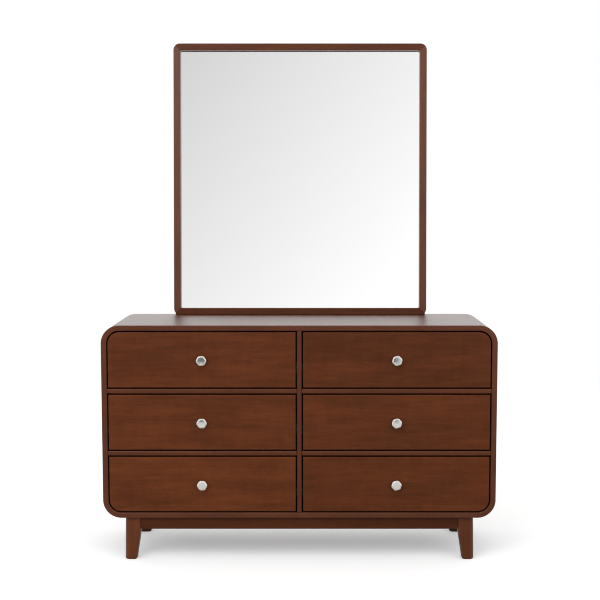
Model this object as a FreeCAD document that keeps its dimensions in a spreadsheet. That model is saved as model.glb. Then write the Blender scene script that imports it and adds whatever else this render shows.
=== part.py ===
import FreeCAD, Part
import math
import os
import re
import Sketcher

# Six-drawer dresser with a mirror that leans back on it. Millimetres, +Z up, the front looks towards -Y.
# The origin lies on the floor, under the middle of the whole piece.
#
# The case is a rounded box: four flat panels joined by four quarter-round corner pieces. The drawer fronts lie
# flush in it, and the fronts next to a corner follow its curve. The case stands on a leg frame. Each drawer is
# a dovetailed box with an applied front, and runs on a pair of roller slides. Two sawn supports, straight below
# and raked above, carry the mirror behind the case.

SIZES = {
    # the whole piece
    "front_plane": (-228.4, "y of the case's front, which puts the origin under the middle"),
    "case_width": (1400, "outside width of the case"),
    "case_depth": (410, "front to back of the case"),
    "case_height": (691, "outside height of the case, without its legs"),
    "base_height": (154.5, "floor to the underside of the case"),
    # case
    "panel_thickness": (20, "top, bottom, sides and corner pieces"),
    "corner_radius": (65, "outside radius of the four case corners"),
    "partition_thickness": (18, "upright between the two stacks of drawers"),
    "rail_height": (18, "thickness of the rails between the drawers"),
    "rail_depth": (60, "front to back of these rails"),
    "edge_ease": (3, "easing of the front edges"),
    "back_thickness": (6, "plywood back"),
    "back_rebate": (10, "width of the rebate that the back lies in"),
    "back_clearance": (0.5, "play of the back in its rebate"),
    "rear_rail_height": (60, "rails inside the back, which the supports are screwed to"),
    "rear_rail_thickness": (18, "front to back of the rear rails"),
    "rear_rail_relief": (2, "how much more the rear rail's corner is rounded than the case"),
    # legs and aprons
    "leg_size": (55, "square of a leg at the case"),
    "foot_size": (39.5, "square of a leg near the floor"),
    "foot_bevel": (4, "bevel round the underside of a foot"),
    "leg_round": (8, "rounding of a leg's outer corner"),
    "leg_ease": (4.5, "easing of a leg's other corners"),
    "leg_side_inset": (77, "from the side of the case to a leg"),
    "leg_face_inset": (12, "from the front or back of the case to a leg"),
    "apron_height": (44.5, "height of the aprons between the legs"),
    "apron_thickness": (20, "thickness of the aprons"),
    "apron_setback": (3, "how far an apron lies behind the outer face of its legs"),
    # drawers
    "front_thickness": (20, "applied drawer front"),
    "front_gap": (4, "gap round a drawer front"),
    "front_ease": (1.5, "easing of a drawer front's edges"),
    "box_board": (12, "thickness of the box's four boards"),
    "box_height": (150, "height of the box"),
    "box_back_space": (16, "from the box to the rear rails"),
    "bottom_thickness": (6, "plywood drawer bottom"),
    "bottom_rise": (9, "from the box's lower edge to its groove"),
    "groove_depth": (6, "depth of the groove for the bottom"),
    "bottom_clearance": (0.3, "play of the bottom in its groove"),
    "pin_narrow": (7, "width of a dovetail pin at the end of the side"),
    "pin_slope": (0.17, "how much each flank of a pin spreads per mm"),
    # roller slides
    "slide_clearance": (12.7, "from the box to the wall that its slide is screwed to"),
    "slide_rise": (58, "from the floor of the drawer's space to the slide"),
    "slide_setback": (2, "how much shorter than the box a slide is, at each end"),
    "slide_height": (24.4, "height of the wall member"),
    "slide_sheet": (1.2, "thickness of the folded steel"),
    "slide_lip": (6, "reach of the wall member's upper lip"),
    "slide_ledge": (10.7, "reach of the wall member's lower ledge"),
    "slide_flange_gap": (2, "from the wall to the drawer member's flange"),
    "slide_flange_drop": (2, "from the wall member's lip down to that flange"),
    "roller_diameter": (18, "nylon rollers"),
    "roller_width": (7.5, "width of a roller"),
    "roller_play": (0.3, "clearance between a roller and what it runs on"),
    "roller_inset": (14, "from the end of a member to the middle of its roller"),
    # knobs
    "knob_bar": (36.4, "diameter of the bar that a knob is milled from"),
    "knob_flats": (34.2, "across the six flats milled on it"),
    "knob_side": (5.3, "height of the flats"),
    "knob_bevel": (4.7, "bevel between the flats and the face"),
    "knob_neck": (12, "diameter of the neck"),
    "knob_standoff": (15, "from the drawer front to the back of the head"),
    "knob_turn_upper_left": (4, "how far this knob is screwed round, in degrees"),
    "knob_turn_upper_right": (17, "how far this knob is screwed round, in degrees"),
    "knob_turn_middle_left": (0, "how far this knob is screwed round, in degrees"),
    "knob_turn_middle_right": (15, "how far this knob is screwed round, in degrees"),
    "knob_turn_lower_left": (0, "how far this knob is screwed round, in degrees"),
    "knob_turn_lower_right": (12, "how far this knob is screwed round, in degrees"),
    # mirror
    "mirror_width": (967, "outside width of the mirror frame"),
    "mirror_height": (1036, "outside height of the mirror frame, along its lean"),
    "mirror_lean": (3.7, "degrees that the mirror leans back"),
    "frame_face": (26, "width of the frame seen from the front"),
    "frame_depth": (38, "front to back of the frame"),
    "frame_corner": (24, "outside radius of the frame's corners"),
    "sight_corner": (5, "radius of the frame's opening"),
    "glass_setback": (20, "from the frame's face to the glass"),
    "glass_rebate": (8, "how far the frame covers the glass"),
    "glass_thickness": (5, "silvered glass"),
    "frame_ease": (1.5, "easing of the frame's front edges"),
    "glass_clearance": (1, "play round the glass and the board behind it"),
    "backboard_thickness": (6, "board behind the glass"),
    # mirror supports
    "support_width": (45, "width of a support"),
    "support_thickness": (22, "thickness of a support"),
    "support_lower": (290, "length of a support below the case top"),
    "support_upper": (780, "length of a support above the case top"),
    "support_inset": (1.5, "from the frame's outer edge to a support"),
    "support_bevel": (6, "bevel of the support's ends"),
}

doc = FreeCAD.newDocument("dresser_with_mirror")
sheet = doc.addObject("Spreadsheet::Sheet", "sizes")
for row, (alias, (number, note)) in enumerate(SIZES.items(), start=1):
    sheet.set(f"A{row}", alias)
    sheet.set(f"B{row}", str(number))
    sheet.set(f"C{row}", note)
    sheet.setAlias(f"B{row}", alias)
doc.recompute()

# Sizes that follow from the sheet. They are expressions too, so nothing is written twice.
CASE_TOP = "(base_height + case_height)"
INNER_HALF = "(case_width / 2 - panel_thickness)"
INNER_RADIUS = "(corner_radius - panel_thickness)"
INNER_DEPTH = "(case_depth - back_thickness)"
CELL_WIDTH = "((case_width - 2 * panel_thickness - partition_thickness) / 2)"
CELL_HEIGHT = "((case_height - 2 * panel_thickness - 2 * rail_height) / 3)"
CELL_MIDDLE = f"((partition_thickness + {CELL_WIDTH}) / 2)"
CASE_FLOOR = "(base_height + panel_thickness)"
LEG_HALF = "(case_width / 2 - leg_side_inset)"
APRON_BOTTOM = "(base_height - apron_height)"
BOX_WIDTH = f"({CELL_WIDTH} - 2 * slide_clearance)"
BOX_RISE = f"(({CELL_HEIGHT} - box_height) / 2)"
BOX_LENGTH = f"({INNER_DEPTH} - rear_rail_thickness - front_thickness - box_back_space)"
SLIDE_LENGTH = f"({BOX_LENGTH} - 2 * slide_setback)"
TAIL_COUNT = 4
TAIL_PITCH = f"(box_height / {TAIL_COUNT})"
PIN_WIDE = "(pin_narrow + 2 * box_board * pin_slope)"
FLANGE_TOP = "(slide_height - slide_sheet - slide_flange_drop)"
FLANGE_UNDERSIDE = f"({FLANGE_TOP} - slide_sheet)"
GLASS_EDGE = "(frame_face - glass_rebate + glass_clearance)"
MIRROR_FRONT = "(case_depth - frame_depth / cos(mirror_lean))"
REAR_RAIL_LEVELS = {
    "upper": f"({CASE_TOP} - panel_thickness - rear_rail_height / 2)",
    "lower": f"({CASE_TOP} - panel_thickness - {CELL_HEIGHT} - rail_height / 2)",
}
ROWS = ["lower", "middle", "upper"]
SIDES = {"left": "-", "right": ""}
TINY = 1e-4


def tied(text):
    """The expression as the document's objects read it, with each size taken from the sheet."""
    return re.sub(r"[a-z_]+", lambda word: "sizes." + word[0] if word[0] in SIZES else word[0], text)


def value(text):
    """What the expression comes to now."""
    return float(sheet.evalExpression(text))


def row_floor(row):
    """Height of the floor of a row of drawers."""
    return f"({CASE_FLOOR} + {ROWS.index(row)} * ({CELL_HEIGHT} + rail_height))"


# ---------------------------------------------------------------- sketches
def new_body(label):
    body = doc.addObject("PartDesign::Body", "Body")
    body.Label = label
    return body


def sketch_on(body, role, offset):
    plane = [item for item in body.Origin.OriginFeatures if item.Role == role][0]
    sketch = body.newObject("Sketcher::SketchObject", "Sketch")
    sketch.AttachmentSupport = [(plane, "")]
    sketch.MapMode = "FlatFace"
    sketch.setExpression("AttachmentOffset.Base.z", tied(offset))
    return sketch


def front_view(body, y="0"):
    """A sketch of X and Z, at depth y. Its normal points to the front, towards -Y."""
    return sketch_on(body, "XZ_Plane", f"-({y})")


def side_view(body, x="0"):
    """A sketch of Y and Z, at x. Its normal points towards +X."""
    return sketch_on(body, "YZ_Plane", x)


def top_view(body, z="0"):
    """A sketch of X and Y, at height z. Its normal points up."""
    return sketch_on(body, "XY_Plane", z)


def drive(sketch, kind, places, text):
    """A dimension of the sketch, driven by an expression."""
    index = sketch.addConstraint(Sketcher.Constraint(kind, *places, value(text)))
    sketch.setExpression(f"Constraints[{index}]", tied(text))


def outline(sketch, corners):
    """A closed outline of straight lines. Each corner is placed by two expressions."""
    first = sketch.GeometryCount
    count = len(corners)
    spots = [FreeCAD.Vector(value(x), value(y), 0) for x, y in corners]
    for i in range(count):
        sketch.addGeometry(Part.LineSegment(spots[i], spots[(i + 1) % count]), False)
    for i in range(count):
        joint = Sketcher.Constraint("Coincident", first + i, 2, first + (i + 1) % count, 1)
        sketch.addConstraint(joint)
    for i, (x, y) in enumerate(corners):
        drive(sketch, "DistanceX", (-1, 1, first + i, 1), x)
        drive(sketch, "DistanceY", (-1, 1, first + i, 1), y)


def rectangle(sketch, left, bottom, right, top):
    outline(sketch, [(left, bottom), (right, bottom), (right, top), (left, top)])


def disc(sketch, x, y, diameter):
    centre = FreeCAD.Vector(value(x), value(y), 0)
    circle = Part.Circle(centre, FreeCAD.Vector(0, 0, 1), value(diameter) / 2)
    index = sketch.addGeometry(circle, False)
    drive(sketch, "DistanceX", (-1, 1, index, 3), x)
    drive(sketch, "DistanceY", (-1, 1, index, 3), y)
    drive(sketch, "Diameter", (index,), diameter)


def rounded_rectangle(sketch, left, bottom, right, top, radii):
    """Four lines and four tangent arcs. The radii start at the lower left corner and go round to the right."""
    first = sketch.GeometryCount
    turns = [(left, bottom, 1, 1), (right, bottom, -1, 1), (right, top, -1, -1), (left, top, 1, -1)]
    starts = [180, 270, 0, 90]
    centres = []
    for (x, y, across, up), radius in zip(turns, radii):
        centres.append((f"{x} + {across} * {radius}", f"{y} + {up} * {radius}"))
    arcs = []
    for (x, y), radius, start in zip(centres, radii, starts):
        spot = FreeCAD.Vector(value(x), value(y), 0)
        circle = Part.Circle(spot, FreeCAD.Vector(0, 0, 1), value(radius))
        arcs.append(Part.ArcOfCircle(circle, math.radians(start), math.radians(start + 90)))
    for arc in arcs:
        sketch.addGeometry(arc, False)
    for i in range(4):
        line = Part.LineSegment(arcs[i].EndPoint, arcs[(i + 1) % 4].StartPoint)
        sketch.addGeometry(line, False)
    for i in range(4):
        line = first + 4 + i
        sketch.addConstraint(Sketcher.Constraint("Tangent", first + i, 2, line, 1))
        sketch.addConstraint(Sketcher.Constraint("Tangent", line, 2, first + (i + 1) % 4, 1))
    for i, ((x, y), radius) in enumerate(zip(centres, radii)):
        drive(sketch, "DistanceX", (-1, 1, first + i, 3), x)
        drive(sketch, "DistanceY", (-1, 1, first + i, 3), y)
        drive(sketch, "Radius", (first + i,), radius)


def quarter_ring(sketch, inner, outer):
    """The quarter of a ring between +X and the sketch's upward axis, about the origin."""
    centre = FreeCAD.Vector(0, 0, 0)
    up = FreeCAD.Vector(0, 0, 1)
    quarter = math.radians(90)
    large = Part.ArcOfCircle(Part.Circle(centre, up, value(outer)), 0, quarter)
    small = Part.ArcOfCircle(Part.Circle(centre, up, value(inner)), 0, quarter)
    sketch.addGeometry(large, False)
    sketch.addGeometry(small, False)
    sketch.addGeometry(Part.LineSegment(small.StartPoint, large.StartPoint), False)
    sketch.addGeometry(Part.LineSegment(small.EndPoint, large.EndPoint), False)
    sketch.addConstraint([
        Sketcher.Constraint("Coincident", 0, 3, -1, 1),
        Sketcher.Constraint("Coincident", 1, 3, -1, 1),
        Sketcher.Constraint("Coincident", 2, 1, 1, 1),
        Sketcher.Constraint("Coincident", 2, 2, 0, 1),
        Sketcher.Constraint("Coincident", 3, 1, 1, 2),
        Sketcher.Constraint("Coincident", 3, 2, 0, 2),
        Sketcher.Constraint("PointOnObject", 0, 1, -1),
        Sketcher.Constraint("PointOnObject", 1, 1, -1),
        Sketcher.Constraint("PointOnObject", 0, 2, -2),
        Sketcher.Constraint("PointOnObject", 1, 2, -2),
    ])
    drive(sketch, "Radius", (0,), outer)
    drive(sketch, "Radius", (1,), inner)


# ---------------------------------------------------------------- features
def pad(body, sketch, length, reverse=False, middle=False):
    feature = body.newObject("PartDesign::Pad", "Pad")
    feature.Profile = sketch
    feature.setExpression("Length", tied(length))
    feature.Reversed = reverse
    if middle:
        feature.SideType = "Symmetric"
    return feature


def pocket(body, sketch, length, reverse=False, middle=False):
    feature = body.newObject("PartDesign::Pocket", "Pocket")
    feature.Profile = sketch
    feature.setExpression("Length", tied(length))
    feature.Reversed = reverse
    if middle:
        feature.SideType = "Symmetric"
    return feature


def repeat(body, feature, sketch, axis, length, count):
    pattern = body.newObject("PartDesign::LinearPattern", "Pattern")
    pattern.Originals = [feature]
    pattern.Direction = (sketch, [axis])
    pattern.setExpression("Length", tied(length))
    pattern.Occurrences = count
    body.Tip = pattern
    return pattern


def dress(body, kind, size, chosen):
    """A fillet or chamfer on the edges for which chosen is true."""
    body.Tip.recompute(True)
    base = body.Tip
    names = [f"Edge{i}" for i, edge in enumerate(base.Shape.Edges, start=1) if chosen(edge.BoundBox)]
    feature = body.newObject(f"PartDesign::{kind}", kind)
    feature.Base = (base, names)
    feature.setExpression("Radius" if kind == "Fillet" else "Size", tied(size))
    return feature


def place(thing, x="0", y="front_plane", z="0", axis=(0, 0, 1), angle="0"):
    """Puts an object in the whole piece, turned about its own origin."""
    thing.Placement = FreeCAD.Placement(
        FreeCAD.Vector(value(x), value(y), value(z)),
        FreeCAD.Rotation(FreeCAD.Vector(*axis), value(angle)),
    )
    for letter, text in (("x", x), ("y", y), ("z", z)):
        thing.setExpression(f"Placement.Base.{letter}", tied(text))
    if angle in SIZES:
        thing.setExpression("Placement.Rotation.Angle", tied(angle))


def group(label, members):
    compound = doc.addObject("Part::Compound", "Compound")
    compound.Links = members
    compound.Label = label
    return compound


nodes = []


# ---------------------------------------------------------------- case
def case_panel(label, length, x, z, angle):
    """A flat panel with its inner face on its own XY plane, eased in front and rebated behind."""
    body = new_body(label)
    face = front_view(body)
    rectangle(face, f"-{length} / 2", "0", f"{length} / 2", "panel_thickness")
    pad(body, face, "case_depth", reverse=True)
    rebate = front_view(body, INNER_DEPTH)
    rectangle(rebate, f"-{length} / 2", "0", f"{length} / 2", "back_rebate")
    pocket(body, rebate, "back_thickness")
    dress(body, "Chamfer", "edge_ease", lambda box: box.YMax < TINY and box.ZLength < TINY)
    place(body, x, z=z, axis=(0, 1, 0), angle=angle)
    nodes.append(body)


def case_corner(label, x, z, angle):
    """A quarter-round corner piece about its own origin, with the same section as the panels."""
    body = new_body(label)
    face = front_view(body)
    quarter_ring(face, INNER_RADIUS, "corner_radius")
    pad(body, face, "case_depth", reverse=True)
    rebate = front_view(body, INNER_DEPTH)
    quarter_ring(rebate, INNER_RADIUS, f"{INNER_RADIUS} + back_rebate")
    pocket(body, rebate, "back_thickness")
    dress(
        body, "Chamfer", "edge_ease",
        lambda box: box.YMax < TINY and box.XLength > TINY and box.ZLength > TINY,
    )
    place(body, x, z=z, axis=(0, 1, 0), angle=angle)
    nodes.append(body)


middle_height = f"({CASE_FLOOR} - panel_thickness + case_height / 2)"
flat_width = "(case_width - 2 * corner_radius)"
flat_height = "(case_height - 2 * corner_radius)"
case_panel("top_panel", flat_width, "0", f"{CASE_TOP} - panel_thickness", "0")
case_panel("right_side_panel", flat_height, INNER_HALF, middle_height, "90")
case_panel("bottom_panel", flat_width, "0", CASE_FLOOR, "180")
case_panel("left_side_panel", flat_height, f"-{INNER_HALF}", middle_height, "270")

corner_x = "(case_width / 2 - corner_radius)"
corner_high = f"({CASE_TOP} - corner_radius)"
corner_low = "(base_height + corner_radius)"
case_corner("top_right_corner", corner_x, corner_high, "0")
case_corner("bottom_right_corner", corner_x, corner_low, "90")
case_corner("bottom_left_corner", f"-{corner_x}", corner_low, "180")
case_corner("top_left_corner", f"-{corner_x}", corner_high, "270")

partition = new_body("centre_partition")
partition_face = front_view(partition)
rectangle(
    partition_face, "-partition_thickness / 2", CASE_FLOOR,
    "partition_thickness / 2", f"{CASE_TOP} - panel_thickness",
)
pad(partition, partition_face, INNER_DEPTH, reverse=True)
dress(partition, "Chamfer", "edge_ease", lambda box: box.YMax < TINY and box.XLength < TINY)
place(partition)
nodes.append(partition)

# Rails between the drawers: two levels, left and right of the partition.
rails = []
for row in ("lower", "middle"):
    for side, sign in SIDES.items():
        rail = new_body(f"rail above {row} {side} drawer")
        rail_face = front_view(rail)
        rectangle(rail_face, f"-{CELL_WIDTH} / 2", "0", f"{CELL_WIDTH} / 2", "rail_height")
        pad(rail, rail_face, "rail_depth", reverse=True)
        dress(rail, "Chamfer", "edge_ease", lambda box: box.YMax < TINY and box.ZLength < TINY)
        place(rail, f"{sign}{CELL_MIDDLE}", z=f"{row_floor(row)} + {CELL_HEIGHT}")
        rails.append(rail)
nodes.append(group("drawer_rails", rails))

# Rails inside the back, which the supports are screwed to: a pair under the top, rounded where they meet the
# case corners, and a pair behind the upper drawer rails.
rear_rails = []
for level, height in REAR_RAIL_LEVELS.items():
    for side, sign in SIDES.items():
        rail = new_body(f"{level} {side} rear rail")
        rail_face = front_view(rail)
        near = f"{sign}(partition_thickness / 2)"
        far = f"{sign}{INNER_HALF}"
        rectangle(rail_face, near, "-rear_rail_height / 2", far, "rear_rail_height / 2")
        pad(rail, rail_face, "rear_rail_thickness", reverse=True)
        if level == "upper":
            end = value(far)
            crown = value("rear_rail_height / 2")
            dress(
                rail, "Fillet", f"{INNER_RADIUS} + rear_rail_relief",
                lambda box: box.XLength < TINY and abs(box.XMin - end) < TINY and box.ZMin > crown - TINY,
            )
        place(rail, "0", f"front_plane + {INNER_DEPTH} - rear_rail_thickness", height)
        rear_rails.append(rail)
nodes.append(group("rear_rails", rear_rails))

back = new_body("back_panel")
back_face = front_view(back)
back_left = "(case_width / 2 - panel_thickness + back_rebate - back_clearance)"
back_low = "(base_height + panel_thickness - back_rebate + back_clearance)"
back_high = f"({CASE_TOP} - panel_thickness + back_rebate - back_clearance)"
back_radius = f"({INNER_RADIUS} + back_rebate - back_clearance)"
rounded_rectangle(back_face, f"-{back_left}", back_low, back_left, back_high, [back_radius] * 4)
pad(back, back_face, "back_thickness", reverse=True)
place(back, y=f"front_plane + {INNER_DEPTH}")
nodes.append(back)


# ---------------------------------------------------------------- leg frame
def leg(label, x, y, angle):
    """A leg with its outer corner on its own Z axis. Its two inner faces taper below the aprons."""
    body = new_body(label)
    section = top_view(body)
    rectangle(section, "0", "0", "leg_size", "leg_size")
    pad(body, section, "base_height")
    taper = [("leg_size", APRON_BOTTOM), ("leg_size", "0"), ("foot_size", "0")]
    for view in (front_view, side_view):
        saw_cut = view(body)
        outline(saw_cut, taper)
        pocket(body, saw_cut, "3 * leg_size", middle=True)
    dress(body, "Fillet", "leg_round", lambda box: box.XMax < TINY and box.YMax < TINY)
    dress(body, "Chamfer", "foot_bevel", lambda box: box.ZMax < TINY)
    round_end = value("leg_round") + TINY
    dress(
        body, "Chamfer", "leg_ease",
        lambda box: box.ZLength > value("foot_bevel") + TINY and (box.XMin > round_end or box.YMin > round_end),
    )
    place(body, x, y, "0", angle=angle)
    nodes.append(body)


leg_front = "front_plane + leg_face_inset"
leg_rear = "front_plane + case_depth - leg_face_inset"
leg("front_left_leg", f"-{LEG_HALF}", leg_front, "0")
leg("front_right_leg", LEG_HALF, leg_front, "90")
leg("rear_right_leg", LEG_HALF, leg_rear, "180")
leg("rear_left_leg", f"-{LEG_HALF}", leg_rear, "270")


def apron(label, width, depth, x, y):
    """A straight board between two legs, from its own middle."""
    body = new_body(label)
    face = front_view(body)
    rectangle(face, f"-{width} / 2", "0", f"{width} / 2", "apron_height")
    pad(body, face, depth, middle=True)
    place(body, x, y, APRON_BOTTOM)
    nodes.append(body)


apron_reach = f"(2 * {LEG_HALF} - 2 * leg_size)"
apron_run = "(case_depth - 2 * leg_face_inset - 2 * leg_size)"
apron_middle = "(leg_face_inset + apron_setback + apron_thickness / 2)"
side_middle = f"({LEG_HALF} - apron_setback - apron_thickness / 2)"
apron("front_apron", apron_reach, "apron_thickness", "0", f"front_plane + {apron_middle}")
apron("rear_apron", apron_reach, "apron_thickness", "0", f"front_plane + case_depth - {apron_middle}")
apron("left_apron", "apron_thickness", apron_run, f"-{side_middle}", "front_plane + case_depth / 2")
apron("right_apron", "apron_thickness", apron_run, side_middle, "front_plane + case_depth / 2")


# ---------------------------------------------------------------- roller slides
# Slide sections are drawn from the wall (0) towards the drawer box (slide_clearance). hand is 1 where that
# direction is +X.
def slide_member(label, hand, section, x, z):
    body = new_body(label)
    face = front_view(body)
    outline(face, [(f"{hand} * ({across})", up) for across, up in section])
    pad(body, face, SLIDE_LENGTH, reverse=True)
    place(body, x, "front_plane + front_thickness + slide_setback", z)
    return body


def roller(label, hand, seat, away, along, height, x, z):
    """A roller that seats on its member's web. away is 1 where it stands out from the wall."""
    body = new_body(label)
    tread = side_view(body, f"{hand} * ({seat})")
    disc(tread, along, height, "roller_diameter")
    pad(body, tread, "roller_width", reverse=hand * away < 0)
    place(body, x, "front_plane + front_thickness + slide_setback", z)
    return body


WALL_SECTION = [
    ("0", "0"),
    ("slide_ledge", "0"),
    ("slide_ledge", "slide_sheet"),
    ("slide_sheet", "slide_sheet"),
    ("slide_sheet", "slide_height - slide_sheet"),
    ("slide_lip", "slide_height - slide_sheet"),
    ("slide_lip", "slide_height"),
    ("0", "slide_height"),
]
DRAWER_SECTION = [
    ("slide_clearance", "2 * slide_sheet"),
    ("slide_clearance", FLANGE_TOP),
    ("slide_flange_gap", FLANGE_TOP),
    ("slide_flange_gap", FLANGE_UNDERSIDE),
    ("slide_clearance - slide_sheet", FLANGE_UNDERSIDE),
    ("slide_clearance - slide_sheet", "2 * slide_sheet"),
]
WALL_ROLLER_HEIGHT = f"({FLANGE_UNDERSIDE} - roller_play - roller_diameter / 2)"
DRAWER_ROLLER_HEIGHT = "(slide_sheet + roller_play + roller_diameter / 2)"

wall_members = []
drawer_members = {}
for row in ROWS:
    for side, sign in SIDES.items():
        drawer_members[row, side] = []
        for hand in (1, -1):
            wall = f"({sign}{CELL_MIDDLE} - {hand} * {CELL_WIDTH} / 2)"
            level = f"({row_floor(row)} + slide_rise)"
            name = f"{row} {side} {'left' if hand > 0 else 'right'}"
            wall_members.append(slide_member(f"wall slide {name}", hand, WALL_SECTION, wall, level))
            wall_members.append(roller(
                f"wall roller {name}", hand, "slide_sheet", 1, "roller_inset", WALL_ROLLER_HEIGHT, wall, level,
            ))
            drawer_members[row, side].append(
                slide_member(f"drawer slide {name}", hand, DRAWER_SECTION, wall, level)
            )
            drawer_members[row, side].append(roller(
                f"drawer roller {name}", hand, "slide_clearance - slide_sheet", -1,
                f"{SLIDE_LENGTH} - roller_inset", DRAWER_ROLLER_HEIGHT, wall, level,
            ))
nodes.append(group("wall_slides", wall_members))


# ---------------------------------------------------------------- drawers
def drawer_front(label, row, side, x, z):
    """A flush front from its own middle, with the case's curve where it meets a case corner."""
    body = new_body(label)
    face = front_view(body)
    half_width = f"({CELL_WIDTH} / 2 - front_gap)"
    half_height = f"({CELL_HEIGHT} / 2 - front_gap)"
    rectangle(face, f"-{half_width}", f"-{half_height}", half_width, half_height)
    pad(body, face, "front_thickness", reverse=True)
    if row != "middle":
        outer = value(f"{SIDES[side]}{half_width}")
        end = value(half_height if row == "upper" else f"-{half_height}")
        dress(
            body, "Fillet", f"{INNER_RADIUS} - front_gap",
            lambda box: abs(box.XMin - outer) < TINY and abs(box.ZMin - end) < TINY
            and box.XLength < TINY and box.ZLength < TINY,
        )
    dress(body, "Chamfer", "front_ease", lambda box: box.YMax < TINY)
    place(body, x, z=z)
    nodes.append(body)


def pin_corners(end, inward, axis_first):
    """A dovetail pin centred on the lower edge, narrow at the end of the board and wide inside."""
    narrow = "pin_narrow / 2"
    wide = f"{PIN_WIDE} / 2"
    deep = f"{end} + {inward} * box_board"
    corners = [(end, f"-{narrow}"), (deep, f"-{wide}"), (deep, wide), (end, narrow)]
    return corners if axis_first else [(up, along) for along, up in corners]


def box_side_board(label, hand, x, z):
    """A side with four tails at each end and a stopped groove for the bottom. hand is 1 on the left."""
    body = new_body(label)
    face = side_view(body)
    rectangle(face, "0", "0", BOX_LENGTH, "box_height")
    pad(body, face, "box_board", reverse=hand < 0)
    for end, inward in (("0", 1), (BOX_LENGTH, -1)):
        pin = side_view(body)
        outline(pin, pin_corners(end, inward, True))
        cut = pocket(body, pin, "2 * box_board", middle=True)
        repeat(body, cut, pin, "V_Axis", "box_height", TAIL_COUNT + 1)
    groove = side_view(body, f"{hand} * box_board")
    rectangle(
        groove, "box_board - groove_depth", "bottom_rise",
        f"{BOX_LENGTH} - box_board + groove_depth", "bottom_rise + bottom_thickness + bottom_clearance",
    )
    pocket(body, groove, "groove_depth", reverse=hand < 0)
    place(body, x, "front_plane + front_thickness", z)
    return body


def box_end_board(label, facing, x, y, z):
    """The board behind the front, or the back. facing is 1 where the inside of the box lies towards +Y."""
    body = new_body(label)
    face = front_view(body)
    half = f"({BOX_WIDTH} / 2)"
    rectangle(face, f"-{half}", "0", half, "box_height")
    pad(body, face, "box_board", reverse=facing > 0)
    outside = "pin_narrow / 2"
    inside = f"{PIN_WIDE} / 2"
    for sign in (-1, 1):
        tail = side_view(body, f"{sign} * {half}")
        deep = f"{facing} * box_board"
        outline(tail, [
            ("0", outside), (deep, inside), (deep, f"{TAIL_PITCH} - {inside}"), ("0", f"{TAIL_PITCH} - {outside}"),
        ])
        cut = pocket(body, tail, "box_board", reverse=sign < 0)
        repeat(body, cut, tail, "V_Axis", f"{TAIL_COUNT - 1} * {TAIL_PITCH}", TAIL_COUNT)
    groove = front_view(body, f"{facing} * box_board")
    rectangle(
        groove, f"-{half} + box_board", "bottom_rise",
        f"{half} - box_board", "bottom_rise + bottom_thickness + bottom_clearance",
    )
    pocket(body, groove, "groove_depth", reverse=facing > 0)
    place(body, x, y, z)
    return body


def drawer_bottom(label, x, z):
    body = new_body(label)
    face = top_view(body)
    reach = "(groove_depth - bottom_clearance)"
    half = f"({BOX_WIDTH} / 2 - box_board + {reach})"
    rectangle(face, f"-{half}", f"box_board - {reach}", half, f"{BOX_LENGTH} - box_board + {reach}")
    pad(body, face, "bottom_thickness")
    place(body, x, "front_plane + front_thickness", z)
    nodes.append(body)


def knob(label, turn, x, z):
    """A round neck with a head that has six wide flats and six narrow ones, bevelled round its face."""
    body = new_body(label)
    neck = top_view(body)
    disc(neck, "0", "0", "knob_neck")
    pad(body, neck, "knob_standoff")
    head = top_view(body, "knob_standoff")
    half_flat = "acos(knob_flats / knob_bar) / (1 deg)"
    corners = []
    for i in range(6):
        for end in (-1, 1):
            bearing = f"({turn} + {60 * i + 30} + {end} * {half_flat})"
            corners.append((f"knob_bar / 2 * cos({bearing})", f"knob_bar / 2 * sin({bearing})"))
    outline(head, corners)
    pad(body, head, "knob_side + knob_bevel")
    face = value("knob_standoff + knob_side + knob_bevel")
    dress(body, "Chamfer", "knob_bevel", lambda box: box.ZMin > face - TINY)
    place(body, x, "front_plane", z, axis=(1, 0, 0), angle="90")
    nodes.append(body)


for row in ROWS:
    for side, sign in SIDES.items():
        name = f"{row}_{side}_drawer"
        middle = f"({sign}{CELL_MIDDLE})"
        centre = f"({row_floor(row)} + {CELL_HEIGHT} / 2)"
        box_low = f"({row_floor(row)} + {BOX_RISE})"
        drawer_front(f"{name}_front", row, side, middle, centre)
        box_left = f"({middle} - {BOX_WIDTH} / 2)"
        box_right = f"({middle} + {BOX_WIDTH} / 2)"
        near = "front_plane + front_thickness"
        far = f"front_plane + front_thickness + {BOX_LENGTH}"
        nodes.append(group(f"{name}_box", [
            box_side_board(f"{name} left side", 1, box_left, box_low),
            box_side_board(f"{name} right side", -1, box_right, box_low),
            box_end_board(f"{name} inner front", 1, middle, near, box_low),
            box_end_board(f"{name} back", -1, middle, far, box_low),
        ]))
        drawer_bottom(f"{name}_bottom", middle, f"{box_low} + bottom_rise + bottom_clearance / 2")
        knob(f"{name}_knob", f"knob_turn_{row}_{side}", middle, centre)
        nodes.append(group(f"{name}_slides", drawer_members[row, side]))


# ---------------------------------------------------------------- mirror
# The mirror is drawn upright in its own frame: X across, Y from its face to its back, Z up its length. Every
# piece then leans back about the lower front edge.
def lean_back(thing):
    place(thing, "0", f"front_plane + {MIRROR_FRONT}", CASE_TOP, axis=(-1, 0, 0), angle="mirror_lean")


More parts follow.
